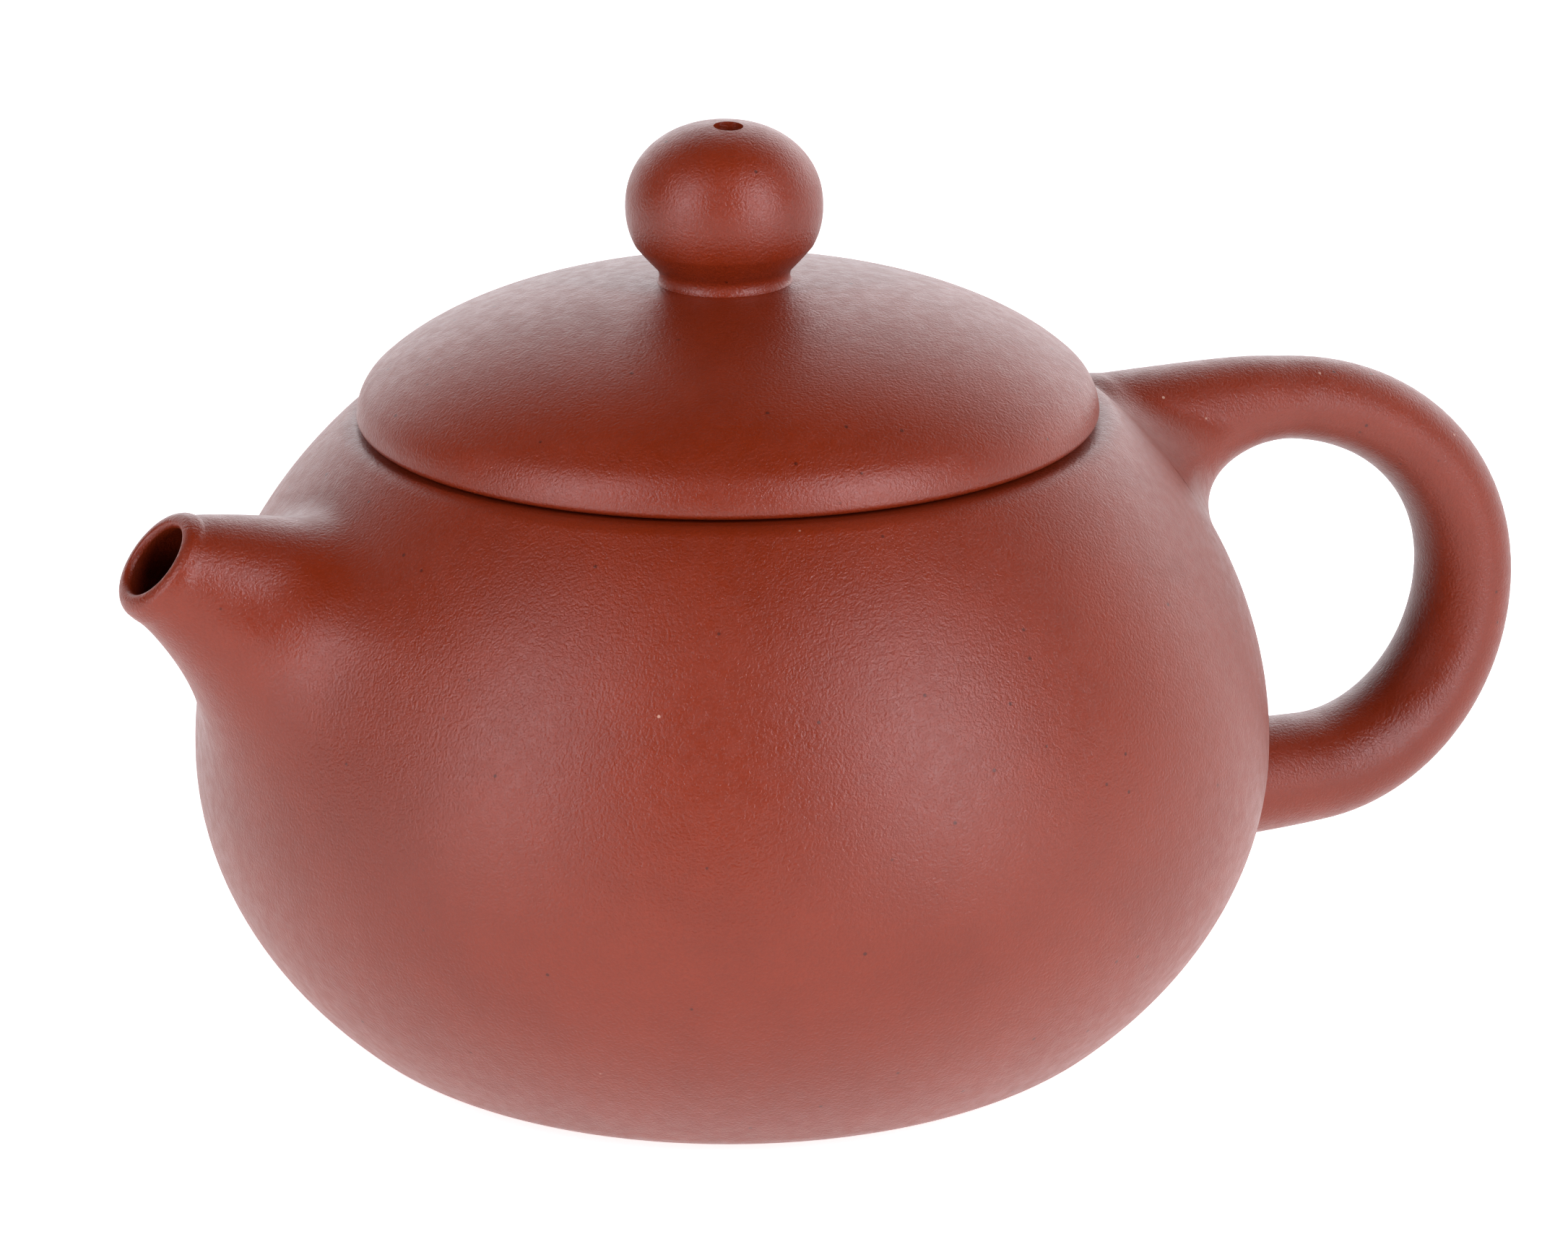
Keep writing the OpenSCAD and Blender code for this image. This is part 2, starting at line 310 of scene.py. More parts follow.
def solve_along(start, direction, distance, far, steps=60):
    """The outermost point of each ray where the distance function changes sign, by search and bisection."""
    n = len(start)
    t = np.linspace(far, 0, steps)
    hit = np.zeros(n)
    upper = np.full(n, float(far))
    found = np.zeros(n, bool)
    previous = np.full(n, float(far))
    for value in t:
        d = distance(start + direction * value)
        inside = (d <= 0) & ~found
        hit[inside] = value
        upper[inside] = previous[inside]
        found |= inside
        previous[~found] = value
    low, high = hit, upper
    for _ in range(40):
        mid = (low + high) / 2
        d = distance(start + direction * mid[:, None])
        low = np.where(d <= 0, mid, low)
        high = np.where(d <= 0, high, mid)
    return start + direction * ((low + high) / 2)[:, None]


# ---------------------------------------------------------------- camera

def camera():
    """A long lens, looking down at the pot from the front and a little from the spout's side."""
    turn, pitch, yaw, roll = VIEW_TURN, VIEW_PITCH, VIEW_YAW, VIEW_ROLL
    to_row = np.array([[math.cos(turn), math.sin(turn), 0],
                       [-math.sin(turn), math.cos(turn), 0],
                       [0, 0, 1]])
    ahead = np.array([math.sin(yaw) * math.cos(pitch), math.cos(yaw) * math.cos(pitch), -math.sin(pitch)])
    right = np.cross(ahead, [0, 0, 1.0])
    right /= np.linalg.norm(right)
    up = np.cross(right, ahead)
    right2 = right * math.cos(roll) + up * math.sin(roll)
    up2 = -right * math.sin(roll) + up * math.cos(roll)
    eye = to_row @ np.array([0, -EYE_BACK, EYE_UP]) + np.array([0, 0, BELLY_Z])
    m = Matrix.Identity(4)
    for i, axis in enumerate((to_row @ right2, to_row @ up2, -(to_row @ ahead))):
        for j in range(3):
            m[j][i] = axis[j]
    for j in range(3):
        m[j][3] = eye[j] * MM
    data = bpy.data.cameras.new("camera")
    data.sensor_width = SENSOR
    data.lens = LENS
    data.clip_start, data.clip_end = 0.01, 20
    obj = bpy.data.objects.new("camera", data)
    bpy.context.scene.collection.objects.link(obj)
    obj.matrix_world = m
    bpy.context.scene.camera = obj


# ---------------------------------------------------------------- floor and light

FLOOR_HALF = 6.0
FLOOR_Z = -0.00005


def pale_floor():
    """A large sheet of white paper under the pot, glowing a little as under studio light."""
    mesh = bpy.data.meshes.new("floor")
    s, low = FLOOR_HALF, FLOOR_Z
    mesh.from_pydata([(-s, -s, low), (s, -s, low), (s, s, low), (-s, s, low)], [], [(0, 1, 2, 3)])
    obj = bpy.data.objects.new("floor", mesh)
    bpy.context.scene.collection.objects.link(obj)
    m = bpy.data.materials.new("floor_paper")
    m.use_nodes = True
    b = m.node_tree.nodes["Principled BSDF"]
    b.inputs["Base Color"].default_value = (0.9, 0.9, 0.9, 1)
    b.inputs["Roughness"].default_value = 0.9
    b.inputs["Specular IOR Level"].default_value = 0.1
    b.inputs["Emission Color"].default_value = (1, 1, 1, 1)
    b.inputs["Emission Strength"].default_value = FLOOR_GLOW
    mesh.materials.append(m)


def studio():
    """White behind the pot, as a lit backdrop, and dim elsewhere; two upright soft boxes in front."""
    world = bpy.data.worlds.new("studio")
    bpy.context.scene.world = world
    world.use_nodes = True
    tree = world.node_tree
    back = tree.nodes["Background"]
    back.inputs["Color"].default_value = (1.0, 0.96, 0.985, 1)
    place = tree.nodes.new("ShaderNodeTexCoord")

    def facing(direction, low, high):
        dot = tree.nodes.new("ShaderNodeVectorMath")
        dot.operation = "DOT_PRODUCT"
        dot.inputs[1].default_value = direction
        tree.links.new(place.outputs["Generated"], dot.inputs[0])
        ramp = tree.nodes.new("ShaderNodeMapRange")
        ramp.interpolation_type = "SMOOTHSTEP"
        ramp.inputs["From Min"].default_value = low
        ramp.inputs["From Max"].default_value = high
        tree.links.new(dot.outputs["Value"], ramp.inputs["Value"])
        return ramp.outputs["Result"]

    behind = facing((0.64, 0.72, -0.265), 0.03, 0.83)
    below_top = facing((0, 0, -1), -0.88, -0.35)
    both = tree.nodes.new("ShaderNodeMath")
    both.operation = "MULTIPLY"
    tree.links.new(behind, both.inputs[0])
    tree.links.new(below_top, both.inputs[1])
    level = tree.nodes.new("ShaderNodeMapRange")
    level.inputs["To Min"].default_value = WORLD_DIM
    level.inputs["To Max"].default_value = WORLD_BRIGHT
    tree.links.new(both.outputs[0], level.inputs["Value"])
    tree.links.new(level.outputs["Result"], back.inputs["Strength"])
    scene = bpy.context.scene
    scene.view_settings.view_transform = "Standard"
    soft_box("left_box", LEFT_POWER, LEFT_TURN)
    soft_box("right_box", RIGHT_POWER, RIGHT_TURN)


def soft_box(name, power, turn):
    """An upright soft box on a circle round the pot, aimed at it."""
    angle = turn - VIEW_TURN
    level = BOX_DISTANCE * math.cos(BOX_RISE)
    rise = BOX_DISTANCE * math.sin(BOX_RISE)
    place = Vector((level * math.sin(angle), -level * math.cos(angle), BOX_AIM_Z + rise))
    data = bpy.data.lights.new(name, "AREA")
    data.shape = "RECTANGLE"
    data.size, data.size_y = BOX_SIZE
    data.energy = power
    data.color = BOX_COLOUR
    obj = bpy.data.objects.new(name, data)
    bpy.context.scene.collection.objects.link(obj)
    obj.location = place
    obj.rotation_mode = "QUATERNION"
    obj.rotation_quaternion = (place - Vector((0, 0, BOX_AIM_Z))).to_track_quat("Z", "Y")


# ---------------------------------------------------------------- joins to the pot, and the spout

SP_OUT = np.array([-math.cos(SPOUT_SLOPE), 0, math.sin(SPOUT_SLOPE)])
SP_UP = np.array([math.sin(SPOUT_SLOPE), 0, math.cos(SPOUT_SLOPE)])
SP_MOUTH = np.array([SPOUT_MOUTH[0], 0, SPOUT_MOUTH[1]])
MOUTH_OUT = np.array([-math.cos(MOUTH_SLOPE), 0, math.sin(MOUTH_SLOPE)])
MOUTH_UP = np.array([math.sin(MOUTH_SLOPE), 0, math.cos(MOUTH_SLOPE)])
SIDE = np.array([0, 1.0, 0])
LIP_R = 4.8
LIP_TUBE = 1.25
LIP_DROP = 1.3
LIP_INNER = 0.4
SPOUT_GROWTH = 0.385
LIP_SOFT = 0.5
SPOUT_FILLET, SPOUT_TIGHT = 12.0, 1.5
FILLET_TOP_Z = 51.5
SPOUT_EASE = 9.0
SPOUT_SIDES = 128


def spout_coords(p):
    rel = p - SP_MOUTH
    depth = -(rel @ SP_OUT)
    up, side = rel @ SP_UP, rel @ SIDE
    return depth, np.hypot(up, side), np.arctan2(side, up)


def lip_ring(angle):
    """Depth and radius of the lip's widest ring, about the spout's own line."""
    around = np.cos(angle)[:, None] * MOUTH_UP + np.sin(angle)[:, None] * SIDE
    p = SP_MOUTH - MOUTH_OUT * LIP_DROP + LIP_R * around
    depth, radius, _ = spout_coords(p)
    return depth, radius


def spout_radius(depth):
    """Level just behind the lip, then a cone that grows towards the pot."""
    back, ahead = np.maximum(depth - LIP_DROP, 0), np.minimum(depth - LIP_DROP, 0)
    return LIP_R + SPOUT_GROWTH * (np.hypot(back, LIP_SOFT) - LIP_SOFT + ahead)


def spout_distance(p):
    depth, radius, angle = spout_coords(p)
    lip_d, lip_r = lip_ring(angle)
    extra = lip_r - spout_radius(lip_d)
    cone = spout_radius(depth) + extra * np.exp(-np.maximum(depth - lip_d, 0) / 2.0)
    return (radius - cone) / math.hypot(1, SPOUT_GROWTH)


def spout_fillet(p):
    """Wide at the sides and underneath, and tighter where the spout's top comes near the rim."""
    return SPOUT_TIGHT + (SPOUT_FILLET - SPOUT_TIGHT) * ease((FILLET_TOP_Z - p[:, 2]) / SPOUT_EASE)


def spout_union(p):
    return soft_min(pot_distance(p), spout_distance(p), spout_fillet(p))


RAY_STEPS = 90
LAST_RAY = math.radians(88)
ON_POT = 0.003
END_PASSES, ROW_PASSES = 6, 3


def root_skin(pole, out, up, angles, start_angle, union, count, far, stop=None):
    """Rows of points from a ring down the flank and onto the pot, along rays from a pole inside the pot.
    start_angle is each ray plane's angle at that ring. Returns the rows, the last ring's angles, and the
    planes' directions."""
    n, fine = len(angles), RAY_STEPS
    radial = np.cos(angles)[:, None] * up + np.sin(angles)[:, None] * SIDE
    psi = start_angle[:, None] + (LAST_RAY - start_angle)[:, None] * np.linspace(0, 1, fine)[None, :]
    dirs = np.cos(psi)[..., None] * out + np.sin(psi)[..., None] * radial[:, None, :]
    flat = dirs.reshape(-1, 3)
    base = np.repeat(pole[None, :], len(flat), 0)
    hit = solve_along(base, flat, union, far)
    on_pot = solve_along(base, flat, pot_distance, far)
    gap = np.linalg.norm(hit - on_pot, axis=1).reshape(n, fine)
    hit = hit.reshape(n, fine, 3)
    last = np.full(n, fine - 1)
    for i in range(n):
        close = np.nonzero(gap[i] < ON_POT)[0]
        if len(close):
            last[i] = close[0]
        if stop is not None:
            over = np.nonzero(stop(hit[i]))[0]
            over = over[over > 5]
            if len(over):
                last[i] = min(last[i], over[0])
    last = last.astype(float)
    for _ in range(END_PASSES):
        last = (np.roll(last, 1) + 2 * last + np.roll(last, -1)) / 4
    rows = np.zeros((n, count))
    for i in range(n):
        length = np.concatenate([[0], np.cumsum(np.linalg.norm(np.diff(hit[i], axis=0), axis=1))])
        end = np.interp(last[i], np.arange(fine), length)
        rows[i] = np.interp(np.linspace(0, end, count), length, psi[i])
    for _ in range(ROW_PASSES):
        rows[:, 1:] = (np.roll(rows, 1, 0) + 2 * rows + np.roll(rows, -1, 0))[:, 1:] / 4
    dirs = np.cos(rows)[..., None] * out + np.sin(rows)[..., None] * radial[:, None, :]
    flat = dirs.reshape(-1, 3)
    points = solve_along(np.repeat(pole[None, :], len(flat), 0), flat, union, far).reshape(n, count, 3)
    return points.transpose(1, 0, 2), rows[:, -1], radial


def under_cap(pole, out, radial, psi, depth, far):
    """A ring inside the pot's wall, at a depth under its surface, along rays at the given angles."""
    dirs = np.cos(psi)[:, None] * out + np.sin(psi)[:, None] * radial
    return solve_along(np.repeat(pole[None, :], len(dirs), 0), dirs, lambda q: pot_distance(q) + depth, far)


SPOUT_POLE, SPOUT_FAR = 26.0, 34.0
BORE_GROWTH = 0.27
BORE_DEPTHS = (1.6, 2.6, 4.0, 6.0, 8.5, 11.0)
BORE_BLEND = 5.0
BORE_END_R, BORE_END_DEPTH = 6.45, 13.0
SPOUT_CAP_DEPTH = 0.5


def make_spout():
    angles = np.arange(SPOUT_SIDES) * 2 * math.pi / SPOUT_SIDES
    pole = SP_MOUTH - SP_OUT * SPOUT_POLE
    lip_d, lip_r = lip_ring(angles)
    first = np.arctan2(lip_r, SPOUT_POLE - lip_d)
    skin, end, radial = root_skin(pole, SP_OUT, SP_UP, angles, first, spout_union, 64, SPOUT_FAR)
    rings = [skin[k] for k in range(len(skin) - 1, 0, -1)]
    around = np.cos(angles)[:, None] * MOUTH_UP + np.sin(angles)[:, None] * SIDE
    tube_r = LIP_R - LIP_TUBE
    for turn in np.radians(np.arange(0, 181, 10)):
        wide, deep = (LIP_TUBE, LIP_DROP) if turn < math.pi / 2 else (LIP_INNER, LIP_INNER * 1.4)
        inwards = MOUTH_OUT * deep * (1 - math.sin(turn))
        rings.append(SP_MOUTH - inwards + around * (tube_r + wide * math.cos(turn)))
    bore_r = tube_r - LIP_INNER
    blend_to = np.cos(angles)[:, None] * SP_UP + np.sin(angles)[:, None] * SIDE
    for depth in BORE_DEPTHS:
        share = min(1.0, depth / BORE_BLEND)
        frame_dir = around * (1 - share) + blend_to * share
        frame_dir /= np.linalg.norm(frame_dir, axis=1)[:, None]
        rings.append(SP_MOUTH - SP_OUT * depth + frame_dir * (bore_r + BORE_GROWTH * depth))
    inner = np.arctan2(BORE_END_R, SPOUT_POLE - BORE_END_DEPTH)
    for share in (0, 0.25, 0.5, 0.75, 0.97):
        psi = inner + (end - inner) * share
        rings.append(under_cap(pole, SP_OUT, radial, psi, SPOUT_CAP_DEPTH, SPOUT_FAR))
    verts = np.concatenate(rings)
    faces = skin_faces(len(rings), SPOUT_SIDES, closed_loop=True)
    obj = mesh_piece("spout_skin", verts, faces, "pot", ["spout"])
    point_outwards(obj)
    obj.data.set_sharp_from_angle(angle=math.radians(50))
    exact_normals(obj, spout_union)
    return obj


# ---------------------------------------------------------------- handle

HANDLE_TOP_Z, HANDLE_LOW_Z, HANDLE_REACH = 47.9, 13.3, 72.3
CREST_X, WAIST_Z, FOOT_X = 50.4, 29.5, 56.7
ROOT_DIP = 1.6
BEND = 0.56
HANDLE_THIN = 3.5
HANDLE_TAPER = 0.62
ROOT_FLARE = 0.14


def handle_path():
    """Four curves: out of the pot, over the crest, round to the foot, and back in.
    Each bend is nearly a quarter oval."""
    top, low, reach = HANDLE_TOP_Z, HANDLE_LOW_Z, HANDLE_REACH
    over, down = BEND * (reach - CREST_X), BEND * (top - WAIST_Z)
    back, up = BEND * (reach - FOOT_X), BEND * (WAIST_Z - low)
    return np.array([
        [(36, top - ROOT_DIP), (42, top - ROOT_DIP / 2), (CREST_X - 2.5, top), (CREST_X, top)],
        [(CREST_X, top), (CREST_X + over, top), (reach, WAIST_Z + down), (reach, WAIST_Z)],
        [(reach, WAIST_Z), (reach, WAIST_Z - up), (FOOT_X + back, low), (FOOT_X, low)],
        [(FOOT_X, low), (FOOT_X - 5, low), (45, low + 0.4), (39, low + 0.9)],
    ], float)


HANDLE_SIDES = 96
PATH_STEPS = 60
HANDLE_WIDTH = 1.15
TOP_FILLET, LOW_FILLET = 9.4, 4.4
TOP_EASE = 6.0
RIM_SIDE_R = 32.2
HANDLE_POLE = 22.0
HANDLE_FAR = HANDLE_POLE + 14
HANDLE_CAP_DEPTH = 1.2
ROOT_REACH = 30
OUT, UP = np.array([1.0, 0, 0]), np.array([0, 0, 1.0])


def handle_line():
    """Points, headings and half thicknesses along the handle."""
    points, heads, along = [], [], []
    for k, q in enumerate(handle_path()):
        for i in range(0 if k == 0 else 1, PATH_STEPS + 1):
            t = i / PATH_STEPS
            u = 1 - t
            points.append(u ** 3 * q[0] + 3 * t * u ** 2 * q[1] + 3 * t * t * u * q[2] + t ** 3 * q[3])
            d = u ** 2 * (q[1] - q[0]) + 2 * t * u * (q[2] - q[1]) + t * t * (q[3] - q[2])
            heads.append(d / np.linalg.norm(d))
            along.append(k + t)
    points, heads, along = np.array(points), np.array(heads), np.array(along)
    thick = HANDLE_THIN + HANDLE_TAPER * np.maximum(along - 1, 0)
    for _ in range(30):
        thick[1:-1] = (thick[:-2] + 2 * thick[1:-1] + thick[2:]) / 4
    back = np.where(along < 1.5, np.maximum(CREST_X + 3.4 - points[:, 0], 0), 0)
    thick = thick + ROOT_FLARE * (np.sqrt(back ** 2 + 4) - 2)
    wide = np.minimum(thick, 3.6 + 0.75 * (thick - 3.6)) * HANDLE_WIDTH
    wide = np.where(along < 1.2, wide, thick * HANDLE_WIDTH)
    return points, heads, thick, wide


H_POINT, H_HEAD, H_THICK, H_WIDE = handle_line()


def tube_distance(p, low, high):
    """Distance of points from the handle between two of its stations, above zero outside it."""
    pts, heads = H_POINT[low:high], H_HEAD[low:high]
    best = np.zeros(len(p), np.int64)
    for s in range(0, len(p), 20000):
        q = p[s:s + 20000][:, [0, 2]]
        best[s:s + 20000] = ((q[:, None, :] - pts[None]) ** 2).sum(-1).argmin(1)
    flat = p[:, [0, 2]]
    last = len(pts) - 1
    after, before = np.minimum(best + 1, last), np.maximum(best - 1, 0)
    ahead = ((flat - pts[best]) * heads[best]).sum(-1)
    other = np.where(ahead > 0, after, before)
    span = np.maximum(np.linalg.norm(pts[other] - pts[best], axis=1), 1e-6)
    share = np.where(other == best, 0.0, np.clip(np.abs(ahead) / span, 0, 1))[:, None]
    head = heads[best] * (1 - share) + heads[other] * share
    head /= np.linalg.norm(head, axis=1)[:, None]
    centre = pts[best] * (1 - share) + pts[other] * share
    u = ((flat - centre) * np.stack([-head[:, 1], head[:, 0]], -1)).sum(-1)
    share = share[:, 0]
    a = H_THICK[low:high][best] * (1 - share) + H_THICK[low:high][other] * share
    b = H_WIDE[low:high][best] * (1 - share) + H_WIDE[low:high][other] * share
    q = np.maximum(np.hypot(u / a, p[:, 1] / b), 1e-3)
    slope = np.maximum(np.hypot(u / a ** 2, p[:, 1] / b ** 2) / q, 1e-6)
    return (q - 1) / slope


def handle_ring(k):
    """The handle's oval section at a station."""
    angles = np.arange(HANDLE_SIDES) * 2 * math.pi / HANDLE_SIDES
    n = np.array([-H_HEAD[k, 1], 0, H_HEAD[k, 0]])
    centre = np.array([H_POINT[k, 0], 0, H_POINT[k, 1]])
    return centre + np.cos(angles)[:, None] * n * H_THICK[k] + np.sin(angles)[:, None] * SIDE * H_WIDE[k]


def handle_root(station, low, high, up, fillet, count, stop=None):
    """The handle's skin from a station onto the pot, the rings that close it, and its last point."""
    centre = np.array([H_POINT[station, 0], 0, H_POINT[station, 1]])
    pole = centre - OUT * HANDLE_POLE
    rel = handle_ring(station) - pole
    first = np.arctan2(np.hypot(rel @ up, rel[:, 1]), rel @ OUT)
    angles = np.arctan2(rel[:, 1], rel @ up)

    def union(p):
        whole = soft_min(pot_distance(p), tube_distance(p, low, high), fillet(p), 2)
        return np.maximum(whole, (p - centre) @ OUT - 0.02)

    skin, end, radial = root_skin(pole, OUT, up, angles, first, union, count, HANDLE_FAR, stop)
    caps = [under_cap(pole, OUT, radial, end * share, HANDLE_CAP_DEPTH, HANDLE_FAR)
            for share in (0.97, 0.75, 0.5, 0.25)]
    tip = under_cap(pole, OUT, radial[:1], np.zeros(1), HANDLE_CAP_DEPTH, HANDLE_FAR)[0]
    return skin, caps, tip


def top_fillet(p):
    """Wide under the handle, and tight where its top runs into the rim."""
    near = ease((np.hypot(p[:, 0], p[:, 1]) - RIM_SIDE_R) / 3.0)
    tight = 0.3 + 2.1 * near
    return tight + (TOP_FILLET - tight) * ease((FILLET_TOP_Z - p[:, 2]) / TOP_EASE)


def low_fillet(p):
    return LOW_FILLET


def on_rim(q):
    """Where the upper root must stop: short of the rim's flat."""
    return (np.hypot(q[:, 0], q[:, 1]) < 32.6) | (q[:, 2] > 53.12)


def make_handle():
    top, low = PATH_STEPS, 3 * PATH_STEPS
    skin_a, caps_a, tip_a = handle_root(top, 0, top + ROOT_REACH, UP, top_fillet, 56, on_rim)
    skin_b, caps_b, tip_b = handle_root(low, low - ROOT_REACH, len(H_POINT), -UP, low_fillet, 48)
    rings = caps_a[::-1] + [skin_a[k] for k in range(len(skin_a) - 1, 0, -1)]
    rings += [handle_ring(k) for k in range(top, low + 1, 2)]
    rings += [skin_b[k] for k in range(1, len(skin_b))] + caps_b
    verts = np.concatenate(rings + [tip_a[None], tip_b[None]])
    faces = skin_faces(len(rings), HANDLE_SIDES)
    a_tip, b_tip, last = len(verts) - 2, len(verts) - 1, (len(rings) - 1) * HANDLE_SIDES
    for i in range(HANDLE_SIDES):
        j = (i + 1) % HANDLE_SIDES
        faces.append((i, a_tip, j))
        faces.append((last + j, b_tip, last + i))
    obj = mesh_piece("handle_loop", verts, faces, "pot", ["handle"])
    point_outwards(obj)
    obj.data.set_sharp_from_angle(angle=math.radians(50))
    exact_normals(obj, all_union)
    return obj


ROOTS_X, ROOTS_SPLIT_Z = 20, 30


def all_union(p):
    """The pot, spout and handle as one smooth skin, for the shading at their joins."""
    skin = pot_distance(p)
    left, right = p[:, 0] < -ROOTS_X, p[:, 0] > ROOTS_X
    if left.any():
        skin[left] = spout_union(p[left])
    top, low = right & (p[:, 2] > ROOTS_SPLIT_Z), right & (p[:, 2] <= ROOTS_SPLIT_Z)
    if top.any():
        q = p[top]
        skin[top] = soft_min(pot_distance(q), tube_distance(q, 0, len(H_POINT)), top_fillet(q), 2)
    if low.any():
        q = p[low]
        skin[low] = soft_min(pot_distance(q), tube_distance(q, 0, len(H_POINT)), LOW_FILLET, 2)
    return skin


# ---------------------------------------------------------------- turned pieces

TURN_SIDES = 320
STRAINER_DEPTH, STRAINER_CUT = 6.9, 12.5


def turned(name, outline, body, nodes, sharp=40, sides=TURN_SIDES):
    verts, faces = revolve(outline, sides)
    obj = mesh_piece(name, verts, faces, body, nodes)
    point_outwards(obj)
    obj.data.set_sharp_from_angle(angle=math.radians(sharp))
    return obj


def shift(obj, offset):
    """Moves a piece's mesh sideways, in millimetres: the lid sits a hair off the pot's axis."""
    obj.data.transform(Matrix.Translation(Vector(offset) * MM))
    return obj


def cut(obj, cutter):
    """Takes a cutter out of a piece, and removes the cutter."""
    m = obj.modifiers.new("cut", "BOOLEAN")
    m.operation, m.object, m.solver = "DIFFERENCE", cutter, "EXACT"
    bpy.context.view_layer.update()
    done = bpy.data.meshes.new_from_object(obj.evaluated_get(bpy.context.evaluated_depsgraph_get()))
    obj.modifiers.remove(m)
    old = obj.data
    obj.data = done
    bpy.data.meshes.remove(old)
    bpy.data.objects.remove(cutter)


def rod(start, direction, radius, length, sides=64):
    """A plain closed rod, used as a cutter."""
    d = Vector(direction).normalized()
    q = d.to_track_quat("Z", "Y").to_matrix()
    verts = []
    for z in (0, length):
        for i in range(sides):
            a = 2 * math.pi * i / sides
            verts.append((Vector(start) + q @ Vector((radius * math.cos(a), radius * math.sin(a), z))) * MM)
    faces = [tuple(range(sides))[::-1], tuple(range(sides, 2 * sides))]
    faces += [(i, (i + 1) % sides, sides + (i + 1) % sides, sides + i) for i in range(sides)]
    mesh = bpy.data.meshes.new("cutter")
    mesh.from_pydata([tuple(v) for v in verts], [], faces)
    obj = bpy.data.objects.new("cutter", mesh)
    bpy.context.scene.collection.objects.link(obj)
    return obj


def make_body_wall():
    outer = lower_outline(0, 56) + shoulder_outline(0, SEAM_ANGLE, 0, 52)[1:]
    inner = lower_outline(WALL, 30) + shoulder_outline(0, SEAM_ANGLE, WALL, 30)[1:]
    outline = [(BASE_DISC_R, 0)] + outer + inner[::-1] + [(BASE_DISC_R, WALL)]
    obj = turned("pot_wall", outline, "pot", ["body_wall"])
    start = SP_MOUTH - SP_OUT * STRAINER_DEPTH
    cut(obj, rod(start, -SP_OUT, STRAINER_R, STRAINER_CUT, 96))
    obj.data.set_sharp_from_angle(angle=math.radians(40))
    exact_normals(obj, pot_distance)
    return obj


def make_shoulder():
    outer = shoulder_outline(SEAM_ANGLE, RIM_START, 0, 14)
    rim = arc(RIM_CENTRE, RIM_ROUND, RIM_ROUND, math.degrees(RIM_TURN), 90, 12)
    inner = [p for p in shoulder_outline(SEAM_ANGLE, RIM_START, WALL, 8) if p[0] > MOUTH_RING_R]
    outline = outer + rim[1:] + [(MOUTH_RING_R, RIM_Z), (MOUTH_RING_R, inner[-1][1])] + inner[::-1]
    obj = turned("pot_shoulder", outline, "pot", ["shoulder_disc"])
    exact_normals(obj, pot_distance)
    return obj


def make_mouth_ring():
    low = RIM_Z - MOUTH_RING_H
    r = 0.5
    outline = (arc((MOUTH_R + r, RIM_Z - r), r, r, 180, 90, 6) + [(MOUTH_RING_R, RIM_Z)]
               + arc((MOUTH_RING_R - r, low + r), r, r, 0, -90, 6)
               + arc((MOUTH_R + r, low + r), r, r, -90, -180, 6))
    return turned("mouth_collar", outline, "pot", ["mouth_ring"], 50)


def make_base():
    hollow_r = (FOOT_R ** 2 + BASE_HOLLOW ** 2) / (2 * BASE_HOLLOW)
    steps = 24
    hollow = [(FOOT_R * (1 - i / steps),
               BASE_HOLLOW - hollow_r + math.sqrt(hollow_r ** 2 - (FOOT_R * (1 - i / steps)) ** 2))
              for i in range(1, steps + 1)]
    foot = [(BASE_DISC_R, 0), (FOOT_R + 0.5, 0), (FOOT_R, 0.05)]
    outline = foot + hollow[:-1] + [(0, BASE_HOLLOW), (0, WALL), (BASE_DISC_R, WALL)]
    return turned("base_plate", outline, "pot", ["base_disc"], 50)


# ---------------------------------------------------------------- lid

LID_R = 30.68
LID_SEAT_R = 27.8
LID_SEAT_Z = 53.42
LID_CORNER = 0.6
LID_ROLL_START = 29.3
LID_OVAL_R, LID_OVAL_H = 32.2, 13.75
LID_WALL = 3.0
HOLLOW_CORNER = 0.8
COLLAR_SUNK = 0.4


def lid_line():
    """The lid's outside, from its seat up: a small corner, a rolled edge, and a flat oval dome."""
    dome_z = LID_TOP - LID_OVAL_H
    begin = math.acos(LID_ROLL_START / LID_OVAL_R)
    begin_z = dome_z + LID_OVAL_H * math.sin(begin)
    normal = math.atan2(LID_OVAL_R * math.sin(begin), LID_OVAL_H * math.cos(begin))
    roll = (LID_R - LID_ROLL_START) / (1 - math.cos(normal))
    roll_z = begin_z - roll * math.sin(normal)
    corner_z = LID_SEAT_Z + LID_CORNER
    low = math.asin((corner_z - roll_z) / roll)
    seat = [(LID_SEAT_R, RIM_Z), (LID_SEAT_R + 0.3, LID_SEAT_Z)]
    corner = arc((LID_R - LID_CORNER, corner_z), LID_CORNER, LID_CORNER, -90, 0, 8)
    edge = arc((LID_R - roll, roll_z), roll, roll, math.degrees(low), math.degrees(normal), 24)
    end = math.acos(VENT_R / LID_OVAL_R)
    dome = arc((0, dome_z), LID_OVAL_R, LID_OVAL_H, math.degrees(begin), math.degrees(end), 60)
    return seat + corner + edge[1:] + dome[1:]


